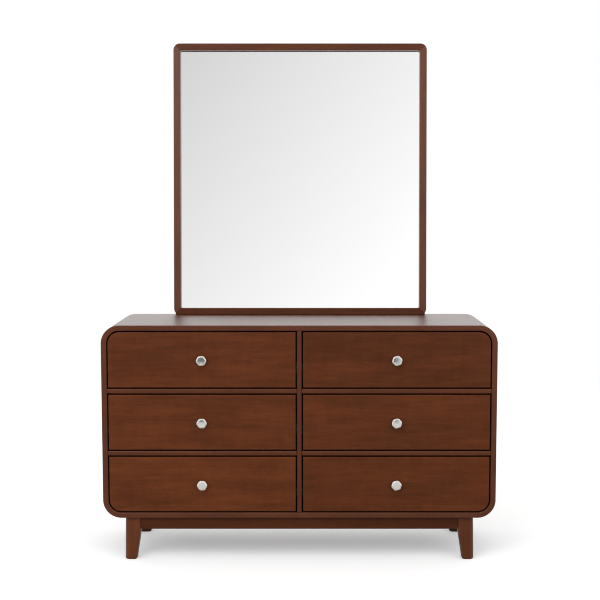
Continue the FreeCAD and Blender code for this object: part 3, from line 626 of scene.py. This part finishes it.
def turned(name, spots, facing, profile, count=24):
    """Turned pieces of one shape, all in one mesh. The profile gives how far out, and the radius there."""
    turn = Vector(facing).to_track_quat("Z", "Y")
    angles = [2 * math.pi * i / count for i in range(count)]
    corners = []
    faces = []
    for spot in spots:
        for out, radius in profile:
            first = len(corners)
            for angle in angles:
                reach = radius(angle) if callable(radius) else radius
                way = Vector((reach * math.cos(angle), reach * math.sin(angle), out))
                corners.append(Vector(spot) + turn @ way)
            if out == profile[0][0] and radius == profile[0][1]:
                faces.append(list(range(first, first + count))[::-1])
            else:
                for i in range(count):
                    j = (i + 1) % count
                    faces.append([first - count + i, first - count + j, first + j, first + i])
        faces.append(list(range(len(corners) - count, len(corners))))
    return mesh_piece(name, corners, faces)


# Fine mottling for metal, nylon and fibreboard: two tones, and a roughness that follows them.
mottle_detail = 3.0
cloud_span = (0.3, 0.7)
mottle_height = 0.0001
fine_mottle, takes, gives = new_effect(
    "fine_mottle",
    {"Place": "vector", "Scale": "number", "First": "colour", "Second": "colour", "Smooth": "number",
     "Rough": "number"},
    {"Color": "colour", "Roughness": "number", "Height": "number"},
)
tree = fine_mottle
cloud = add(tree, "TexNoise", {
    "Vector": takes.outputs["Place"], "Scale": takes.outputs["Scale"], "Detail": mottle_detail,
})
share = spread(tree, cloud.outputs["Fac"], *cloud_span)
tree.links.new(tint(tree, share, takes.outputs["First"], takes.outputs["Second"]), gives.inputs["Color"])
rough = add(tree, "MapRange", {"Value": share, 3: takes.outputs["Smooth"], 4: takes.outputs["Rough"]})
tree.links.new(rough.outputs["Result"], gives.inputs["Roughness"])
tree.links.new(cloud.outputs["Fac"], gives.inputs["Height"])


def mottled(name, first, second, scale, smoothest, roughest, metallic=0.0, relief=0.05, inside=None):
    """A material with fine mottling."""
    material, tree, output = blank_material(name)
    mottle = add(tree, "Group", {"Place": add(tree, "TexCoord").outputs["Object"]}, node_tree=fine_mottle)
    mottle.inputs["Scale"].default_value = scale
    mottle.inputs["First"].default_value = first
    mottle.inputs["Second"].default_value = second
    mottle.inputs["Smooth"].default_value = smoothest
    mottle.inputs["Rough"].default_value = roughest
    height = mottle.outputs["Height"]
    bump = add(tree, "Bump", {"Strength": relief, "Distance": mottle_height, "Height": height})
    colour = mottle.outputs["Color"]
    # Painted gap shade over the colour, where inside says.
    if inside:
        colour = with_gap_shade(tree, colour, inside)
    finish = add(tree, "BsdfPrincipled", {
        "Base Color": colour, "Roughness": mottle.outputs["Roughness"],
        "Metallic": metallic, "Normal": bump.outputs["Normal"],
    })
    tree.links.new(finish.outputs[0], output.inputs["Surface"])
    return material


def fitted(piece, finish, body, node=None, sharp_from=40):
    """Gives a made piece its material and smooth shading, hangs it on its body, and hides the solid it
    replaces.
    """
    piece.data.materials.append(finish)
    smooth(piece, sharp_from)
    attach(piece, body)
    if node:
        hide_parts(node)


zinc_light = (0.62, 0.61, 0.58, 1)
zinc_dark = (0.48, 0.47, 0.45, 1)
zinc = mottled(
    "zinc_plated_steel", zinc_light, zinc_dark, scale=600.0, smoothest=0.28, roughest=0.42, metallic=1.0,
)
pine = wooden(
    "pine_rear_rails", grain_along("X"), pine_light, pine_dark, pine_pore, figure=1.2, shine=raw_shine,
)
cad_piece("back_panel", plywood("back_plywood", grain_along("X", (0.1, 0.4, 0.3))))
cad_piece("rear_rails", pine)

pin_inset = 0.005
pin_reach = 0.600
pin_rise = 0.250
pins_each_side = 4
pins_each_way = 2
pin_head = [(0.0, 0.0017), (0.0005, 0.0016), (0.0008, 0.0009)]
back_low, back_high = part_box("back_panel")
pin_spots = []
for i in range(-pins_each_side, pins_each_side + 1):
    for z in (back_low.z + pin_inset, back_high.z - pin_inset):
        pin_spots.append((pin_reach * i / pins_each_side, back_high.y, z))
for i in range(-pins_each_way, pins_each_way + 1):
    for x in (back_low.x + pin_inset, 0.0, back_high.x - pin_inset):
        pin_spots.append((x, back_high.y, case_middle + pin_rise * i / pins_each_way))
pins = turned("back_pins", pin_spots, (0, 1, 0), pin_head, count=12)
fitted(pins, zinc, "dresser")


# ---------------------------------------------------------------- leg frame
# Four legs of solid walnut with four aprons tenoned between them. Each leg tapers on its two inner faces,
# its corners grow rounder towards the foot, and the front feet spread a little. The aprons lie behind the
# legs' faces, and are painted darker: painted shade from the case's overhang. The legs' tones hold painted
# light and shade too.

# Radii of a leg's corners, at the foot and at the top of the taper.
outer_corners = (0.018, 0.014)
inner_corners = (0.012, 0.006)
foot_widths = {"front": 0.0420, "rear": 0.0435}
foot_spreads = {"front": 0.0030, "rear": 0.0}
foot_rounding = 0.005
foot_steps = 5
outer_steps = 8
inner_steps = 5
taper_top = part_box("front_apron")[0].z
apron_easing = 0.0025
# Painted light and shade: the left front leg lighter and the right one darker, as the light falls from the
# left, and the rear legs darker still, as in the shade under the case.
leg_shadings = {"front_left": 1.16, "front_right": 0.97, "rear_left": 0.66, "rear_right": 0.62}
leg_looks = {"shine": 0.18, "gloss": 0.35}
# Painted shade: the aprons made darker, as under the case's overhang.
apron_shade_depth = 0.72


def between(ends, share):
    """A size partway from its first value to its second."""
    return ends[0] + (ends[1] - ends[0]) * share


def leg_section(width, share, inset):
    """The outline of a leg, from its outer corner. share is 0 at the foot. inset takes it in all round."""
    low_side = inset
    high_side = width - inset
    outer = between(outer_corners, share) - inset
    inner = between(inner_corners, share) - inset
    return (
        arc((low_side + outer, low_side + outer), outer, 180, 270, outer_steps)
        + arc((high_side - inner, low_side + inner), inner, 270, 360, inner_steps)
        + arc((high_side - inner, high_side - inner), inner, 0, 90, inner_steps)
        + arc((low_side + inner, high_side - inner), inner, 90, 180, inner_steps)
    )


for index, (corner, depth) in enumerate(leg_shadings.items()):
    grain = grain_along("Z", (0.4 * index, 0.2 * index, 0.1))
    leg_wood = lacquered(f"walnut_{corner}_leg", grain, depth, **leg_looks)
    low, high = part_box(f"{corner}_leg")
    out_x, in_x = (low.x, 1) if "left" in corner else (high.x, -1)
    out_y, in_y = (low.y, 1) if "front" in corner else (high.y, -1)
    leg_width = high.x - low.x
    turns = [math.radians(90 * i / foot_steps) for i in range(foot_steps + 1)]
    levels = [(foot_rounding * (1 - math.cos(t)), foot_rounding * (1 - math.sin(t))) for t in turns]
    levels += [(taper_top, 0.0), (high.z, 0.0)]
    end = corner.split("_")[0]
    rings = []
    for z, inset in levels:
        spread_out = foot_spreads[end] * (1 - z / high.z)
        share = min(z / taper_top, 1.0)
        width = between((foot_widths[end], leg_width), share)
        rings.append([
            (out_x + in_x * (u - spread_out), out_y + in_y * (v - spread_out), z)
            for u, v in leg_section(width, share, inset)
        ])
    fitted(lofted(f"walnut_{corner}_leg", rings), leg_wood, "dresser", f"{corner}_leg")
apron_grains = {
    "front_apron": grain_along("X", (0.0, 0.3, 0.2)),
    "rear_apron": grain_along("X", (0.5, 0.3, 0.2)),
    "left_apron": grain_along("Y", (0.3, 0.0, 0.4)),
    "right_apron": grain_along("Y", (0.3, 0.5, 0.4)),
}
for node, grain in apron_grains.items():
    cad_piece(node, lacquered(f"walnut_{node}", grain, apron_shade_depth), apron_easing, rounds=3)


# ---------------------------------------------------------------- roller slides
# Bought slides, a pair to a drawer: members folded from 1.2 mm steel and powder coated cream, each with a
# black nylon roller on a riveted hub. Three screws hold each member to the case, or to the drawer box.
sheet = 0.0012
slide_clearance = 0.0127
flange_gap = 0.002
slide_top = 0.0212
wall_flange = 0.0107
wall_lip = 0.0060
wall_top = 0.0244
drawer_low = 0.0024
wall_section = [
    (0.0, 0.0), (wall_flange, 0.0), (wall_flange, sheet), (sheet, sheet),
    (sheet, wall_top - sheet), (wall_lip, wall_top - sheet), (wall_lip, wall_top), (0.0, wall_top),
]
drawer_section = [
    (slide_clearance, drawer_low), (slide_clearance, slide_top), (flange_gap, slide_top),
    (flange_gap, slide_top - sheet), (slide_clearance - sheet, slide_top - sheet),
    (slide_clearance - sheet, drawer_low),
]

roller_radius = 0.009
roller_width = 0.0075
roller_chamfer = 0.0004
roller_hollow = 0.0006
hollow_radii = (0.0062, 0.0060)
hub_radii = (0.0034, 0.0024)
hub_levels = (0.0002, 0.0008)
roller_inset = 0.014
wall_roller_height = 0.0107
drawer_roller_height = 0.0105
roller_profile = [
    (0.0, roller_radius - roller_chamfer), (roller_chamfer, roller_radius),
    (roller_width - roller_chamfer, roller_radius), (roller_width, roller_radius - roller_chamfer),
    (roller_width, hollow_radii[0]), (roller_width - roller_hollow, hollow_radii[1]),
]
hub_profile = [
    (roller_width - roller_hollow, hub_radii[0]), (roller_width + hub_levels[0], hub_radii[0]),
    (roller_width + hub_levels[1], hub_radii[1]),
]

slide_screw_places = (0.12, 0.5, 0.88)
slide_screw_level = 0.0122
slide_screw_radius = 0.0036
slide_screw_height = 0.0013

# A screw's head, in shares of its height and radius. The cross in it is cut down from just under the top:
# its level, the reach of its arms, and half their width.
head_height = 0.55
head_curve = [(0.0, 1.0), (0.45, 0.97), (0.85, 0.78), (1.0, 0.60)]
cross_cuts = [(0.999, 0.55, 0.14), (0.45, 0.42, 0.10)]


def cross_recess(arm, width):
    """The outline of a cross-shaped recess, by angle."""
    least = 1e-6

    def reach(angle):
        across = abs(math.cos(angle)) + least
        along = abs(math.sin(angle)) + least
        return max(min(arm / across, width / along), min(arm / along, width / across))

    return reach


def screw_heads(name, spots, facing, radius, body, height=None):
    """Pan heads with a cross recess, seated on a face."""
    height = height or radius * head_height
    profile = [(height * up, radius * out) for up, out in head_curve]
    profile += [(height * up, cross_recess(radius * arm, radius * width)) for up, arm, width in cross_cuts]
    fitted(turned(name, spots, facing, profile, count=32), zinc, body)


# How far back from the case front the slides take the painted gap shade.
slide_gap_shade_reach = 0.048


def near_front(tree):
    """The front end of a slide, painted near-black as painted shade so that it doesn't show in the gap."""
    place = add(tree, "SeparateXYZ", {0: add(tree, "TexCoord").outputs["Object"]}).outputs
    return reckon(tree, "LESS_THAN", place["Y"], case_front + slide_gap_shade_reach)


cream_light = (0.80, 0.79, 0.74, 1)
cream_dark = (0.74, 0.73, 0.68, 1)
nylon_light = (0.020, 0.020, 0.021, 1)
nylon_dark = (0.014, 0.014, 0.015, 1)
# Cream coat, painted near-black at the front ends as painted gap shade.
slide_coat = mottled(
    "powder_coated_steel", cream_light, cream_dark, scale=900.0, smoothest=0.34, roughest=0.44,
    inside=near_front,
)
nylon = mottled("black_nylon_roller", nylon_light, nylon_dark, scale=500.0, smoothest=0.40, roughest=0.50)
drawers = ["upper_left", "upper_right", "middle_left", "middle_right", "lower_left", "lower_right"]
for drawer in drawers:
    low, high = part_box(f"{drawer}_drawer_slides")
    level = high.z - slide_top
    walls = [("left", low.x - flange_gap, 1), ("right", high.x + flange_gap, -1)]
    for hand, wall, away in walls:
        members = [
            ("wall", wall_section, "wall_slides", "dresser"),
            ("drawer", drawer_section, f"{drawer}_drawer_slides", f"{drawer}_drawer"),
        ]
        for kind, section, node, body in members:
            name = f"{drawer}_{hand}_{kind}_slide"
            ends = [[(wall + away * x, y, level + z) for x, z in section] for y in (low.y, high.y)]
            fitted(lofted(name, ends), slide_coat, body, node)
            if kind == "wall":
                seat, out = wall + away * sheet, away
                hub = (seat, low.y + roller_inset, level + wall_roller_height)
            else:
                seat, out = wall + away * (slide_clearance - sheet), -away
                hub = (seat, high.y - roller_inset, level + drawer_roller_height)
            facing = (out, 0, 0)
            roller = turned(f"{name}_roller", [hub], facing, roller_profile, count=32)
            fitted(roller, nylon, body, node)
            rivet = turned(f"{name}_rivet", [hub], facing, hub_profile, count=20)
            fitted(rivet, zinc, body)
            height = level + slide_screw_level
            screws = [(seat, low.y + share * (high.y - low.y), height) for share in slide_screw_places]
            screw_heads(f"{name}_screws", screws, facing, slide_screw_radius, body, slide_screw_height)


# ---------------------------------------------------------------- drawer boxes
# Four boards of pale rubberwood, dovetailed with four tails to a corner and left bare. The sides carry the
# tails and the ends carry the pins. A plywood bottom slides into a groove round the inside.
box_board = 0.012
tails = 4
pin_narrow = 0.007
pin_slope = 0.17
pin_wide = pin_narrow + 2 * box_board * pin_slope
pale_light = (0.62, 0.46, 0.29, 1)
pale_dark = (0.50, 0.35, 0.20, 1)
pale_pore = (0.36, 0.23, 0.12, 1)


def pale_board(name, grain_of):
    """Bare rubberwood."""
    return wooden(name, grain_of, pale_light, pale_dark, pale_pore, figure=0.9, shine=raw_shine)


def joint_edge(end, inward, low, pitch, first_pin, second_pin):
    """One end of a board, upwards. At each tail the outline steps in or out by a board's thickness."""
    corners = []
    deep = end + inward * box_board
    steps = (end, deep) if first_pin == second_pin else (deep, end)
    for i in range(tails):
        start = low + i * pitch
        stop = start + pitch
        corners += [
            (steps[0], start + first_pin / 2), (steps[1], start + second_pin / 2),
            (steps[1], stop - second_pin / 2), (steps[0], stop - first_pin / 2),
        ]
    return [(steps[0], low)] + corners + [(steps[0], low + tails * pitch)]


def board_outline(first, second, low, high, first_pin, second_pin):
    """A whole board between two jointed ends."""
    pitch = (high - low) / tails
    up = joint_edge(first, 1, low, pitch, first_pin, second_pin)
    down = joint_edge(second, -1, low, pitch, first_pin, second_pin)
    return up + down[::-1]


for index, drawer in enumerate(drawers):
    node = f"{drawer}_drawer_box"
    body = f"{drawer}_drawer"
    low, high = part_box(node)
    side_wood = pale_board(f"rubberwood_{drawer}_sides", grain_along("Y", (0.3 * index, 0.5, 0.2 * index)))
    end_wood = pale_board(f"rubberwood_{drawer}_ends", grain_along("X", (0.7 * index, 0.1, 0.4 * index)))
    outline = board_outline(low.y, high.y, low.z, high.z, pin_wide, pin_narrow)
    sides = [("left", low.x, low.x + box_board), ("right", high.x, high.x - box_board)]
    for hand, outside, inside in sides:
        rings = [[(x, y, z) for y, z in outline] for x in (outside, inside)]
        side = lofted(f"{drawer}_{hand}_box_side", rings)
        fitted(side, side_wood, body, node)
    narrow = board_outline(low.x, high.x, low.z, high.z, pin_narrow, pin_narrow)
    wide = board_outline(low.x, high.x, low.z, high.z, pin_wide, pin_wide)
    ends = [("front", low.y, low.y + box_board), ("back", high.y, high.y - box_board)]
    for part, outside, inside in ends:
        rings = [[(x, outside, z) for x, z in narrow], [(x, inside, z) for x, z in wide]]
        fitted(lofted(f"{drawer}_box_{part}", rings), end_wood, body, node)
    sheet_wood = plywood(f"plywood_{drawer}_bottom", grain_along("X", (0.6 * index, 0.8, 0.1)))
    cad_piece(f"{drawer}_drawer_bottom", sheet_wood)


# ---------------------------------------------------------------- drawer fronts
# Each front is cut from walnut-veneered board with the grain across. The four next to a corner follow its
# curve. Every one comes from its own sheet, so they differ in tone, and their tones also hold painted light:
# the lower fronts are made lighter where the lamps light them less. Four screws hold it to its box, from
# inside.
front_tones_and_light = {
    "upper_left": 1.00, "upper_right": 0.90, "middle_left": 1.06,
    "middle_right": 0.99, "lower_left": 1.16, "lower_right": 1.01,
}
front_easing = 0.0018
front_screw_radius = 0.004
# How much of the painted gap shade the fronts' edges take.
edge_gap_shade = 0.5
screw_side = 0.070
screw_low = 0.040


def on_edges(tree):
    """A drawer front, whose edges take less of the painted gap shade. Its face lies before the shade's
    start.
    """
    return edge_gap_shade


front_looks = {"figure": 1.35, "shine": 0.08, "gloss": 0.18, "inside": on_edges}
for index, (drawer, tone) in enumerate(front_tones_and_light.items()):
    grain = grain_along("X", (1.7 * index, 0.37 * index, 0.83 * index))
    front_wood = lacquered(f"walnut_{drawer}_front", grain, tone, **front_looks)
    cad_piece(f"{drawer}_drawer_front", front_wood, front_easing, rounds=3)
    low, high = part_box(f"{drawer}_drawer_box")
    spots = []
    for x in (low.x + screw_side, high.x - screw_side):
        for z in (low.z + screw_low, high.z - screw_low):
            spots.append((x, low.y + box_board, z))
    screw_heads(f"{drawer}_front_screws", spots, (0, 1, 0), front_screw_radius, f"{drawer}_drawer")


# ---------------------------------------------------------------- knobs
# Solid brass, turned from bar with six wide flats milled on the head, then polished and nickel plated. A
# round neck holds the head off the front, and a bolt from inside the drawer stops each knob at its own
# angle.
knob_bar = 0.0364
knob_flats = 0.0342
knob_standoff = 0.015
knob_side = 0.0053
knob_bevel = 0.0038
knob_dome = 0.0004
knob_rounding = 0.0004
rounded_from = math.radians(20)
dome_rings = (1.0, 0.7, 0.4, 0.12)
bolt_radius = 0.0048
neck_radius = 0.006
flange_radius = 0.0090
half_sixth = math.radians(30)
half_flat = math.acos(knob_flats / knob_bar)
knob_turns = {
    "upper_left": 4, "upper_right": 17, "middle_left": 0,
    "middle_right": 15, "lower_left": 0, "lower_right": 12,
}

# The neck from the front outwards: a small flange with an eased edge, a slight waist, and a flare to the
# head.
neck_profile = [
    (0.0, flange_radius), (0.0012, flange_radius), (0.0020, flange_radius - 0.0008), (0.0026, neck_radius),
    (knob_standoff * 0.45, neck_radius - 0.0010), (knob_standoff * 0.8, neck_radius),
    (knob_standoff, neck_radius + 0.0022),
]


def head_outline(turn, inset, out):
    """The head's six wide and six narrow sides, each moved in by inset, at a distance from the front."""
    wide = knob_flats / 2 - inset
    narrow = knob_bar / 2 * math.cos(half_sixth - half_flat) - inset
    reach = (narrow - wide * math.cos(half_sixth)) / math.sin(half_sixth)
    corners = []
    for i in range(6):
        facing = math.radians(turn + 30 + 60 * i)
        for along in (-reach, reach):
            x = wide * math.cos(facing) - along * math.sin(facing)
            z = wide * math.sin(facing) + along * math.cos(facing)
            corners.append((x, -out, z))
    return corners


nickel_light = (0.86, 0.84, 0.81, 1)
nickel_dark = (0.80, 0.79, 0.77, 1)
nickel = mottled(
    "polished_nickel", nickel_light, nickel_dark, scale=420.0, smoothest=0.10, roughest=0.17, metallic=1.0,
)
for drawer, turn in knob_turns.items():
    node = f"{drawer}_drawer_knob"
    low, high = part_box(node)
    centre = Vector(((low.x + high.x) / 2, high.y, (low.z + high.z) / 2))
    face = knob_standoff + knob_side + knob_bevel
    rim = head_outline(turn, knob_bevel, face)
    domed = [[(x * s, y + knob_dome * s * s, z * s) for x, y, z in rim] for s in dome_rings]
    head = lofted(f"{drawer}_knob_head", [
        head_outline(turn, 0.0, knob_standoff),
        head_outline(turn, 0.0, knob_standoff + knob_side),
        *domed,
    ])
    head.location = centre
    rounding = head.modifiers.new("polished_edges", "BEVEL")
    rounding.width = knob_rounding
    rounding.segments = 3
    rounding.angle_limit = rounded_from
    neck = turned(f"{drawer}_knob_neck", [centre], (0, -1, 0), neck_profile)
    for piece in (head, neck):
        fitted(piece, nickel, f"{drawer}_drawer", node, sharp_from=60)
    box_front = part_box(f"{drawer}_drawer_box")[0].y
    bolt = (centre.x, box_front + box_board, centre.z)
    screw_heads(f"{drawer}_knob_bolt", [bolt], (0, 1, 0), bolt_radius, f"{drawer}_drawer")


# ---------------------------------------------------------------- mirror frame
# Four mitred walnut members with a rebate for the glass. The corners are rounded off outside, and the
# stiles and rails come from boards of slightly different tone.
lean = math.radians(3.7)
frame_easing = 0.0007
stile_looks = {"depth": 0.95, "shine": 0.34, "gloss": 0.06}
rail_looks = {"shine": 0.14, "gloss": 0.06}
rail_depths = {"mirror_bottom_rail": 0.67, "mirror_top_rail": 0.80}


def grain_up_lean(start):
    """Grain that runs up a stile or a support, along the mirror's lean."""
    def make(tree):
        spot = add(tree, "TexCoord").outputs["Object"]
        moved = add(tree, "VectorMath", {0: spot, 1: start}, operation="ADD").outputs["Vector"]
        upright = add(tree, "Mapping", {"Vector": moved, "Rotation": (lean, 0, 0)}).outputs["Vector"]
        return add(tree, "Mapping", {"Vector": upright, "Rotation": (0, math.pi / 2, 0)}).outputs["Vector"]

    return make


for index, node in enumerate(["mirror_left_stile", "mirror_right_stile"]):
    grain = grain_up_lean((0.9 * index, 0.2, 0.6))
    cad_piece(node, lacquered(f"walnut_{node}", grain, **stile_looks), frame_easing)
for index, (node, depth) in enumerate(rail_depths.items()):
    grain = grain_along("X", (0.2, 0.6, 0.9 * index))
    cad_piece(node, lacquered(f"walnut_{node}", grain, depth, **rail_looks), frame_easing)


# ---------------------------------------------------------------- glass and its board
# Silvered glass, 5 mm thick, without a bevel. It is laid into the frame's rebate from behind, and a brown
# fibreboard sheet covers its back.
silver_tint = (0.952, 0.952, 0.952, 1)
haze_tint = (0.937, 0.937, 0.937, 1)
haze_scale = 3.0
haze_detail = 4.0
polish = (0.0, 0.003)
fibre_light = (0.21, 0.125, 0.070, 1)
fibre_dark = (0.15, 0.085, 0.045, 1)

glass, tree, output = blank_material("silvered_glass")
spot = add(tree, "TexCoord").outputs["Object"]
haze = add(tree, "TexNoise", {"Vector": spot, "Scale": haze_scale, "Detail": haze_detail}).outputs["Fac"]
silvering = add(tree, "BsdfPrincipled", {
    "Base Color": tint(tree, haze, silver_tint, haze_tint),
    "Metallic": 1.0,
    "Roughness": spread(tree, haze, *cloud_span, *polish),
})
tree.links.new(silvering.outputs[0], output.inputs["Surface"])
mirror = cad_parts["mirror_glass"]
for slot in mirror.material_slots:
    slot.material = glass
fibreboard = mottled(
    "brown_fibreboard", fibre_light, fibre_dark, scale=260.0, smoothest=0.55, roughest=0.75, relief=0.3,
)
cad_piece("mirror_backboard", fibreboard)


# ---------------------------------------------------------------- mirror supports
# Two boards of dark-stained pine, sawn with a bend at the case top. Each is screwed through the plywood to
# the rear rails, and to the back of a stile above.
stained_light = (0.135, 0.062, 0.034, 1)
stained_dark = (0.080, 0.036, 0.020, 1)
stained_pore = (0.040, 0.018, 0.010, 1)
support_figure = 1.1
support_easing = 0.0008
support_thickness = 0.022
support_screw_radius = 0.0048
lower_screw_heights = (0.597, 0.627, 0.781, 0.811)
upper_screw_runs = (0.09, 0.30, 0.52, 0.74)
stile_screw_inset = 0.012
for index, side in enumerate(["left", "right"]):
    node = f"mirror_support_{side}"
    grain = grain_up_lean((0.5 * index, 0.9, 0.3))
    stained = wooden(
        f"stained_{node}", grain, stained_light, stained_dark, stained_pore, support_figure, raw_shine,
    )
    cad_piece(node, stained, support_easing)
    low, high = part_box(node)
    middle = (low.x + high.x) / 2
    outer = low.x + stile_screw_inset if side == "left" else high.x - stile_screw_inset
    spots = [(middle, low.y + support_thickness, z) for z in lower_screw_heights]
    screw_heads(f"{node}_lower_screws", spots, (0, 1, 0), support_screw_radius, "dresser")
    spots = []
    for run in upper_screw_runs:
        y = low.y + run * math.sin(lean) + support_thickness * math.cos(lean)
        z = case_high + run * math.cos(lean) - support_thickness * math.sin(lean)
        spots.append((outer, y, z))
    rear = (0, math.cos(lean), -math.sin(lean))
    screw_heads(f"{node}_upper_screws", spots, rear, support_screw_radius, "dresser")


# ---------------------------------------------------------------- size
# The box round the finished dresser, without the floor.
low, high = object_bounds()
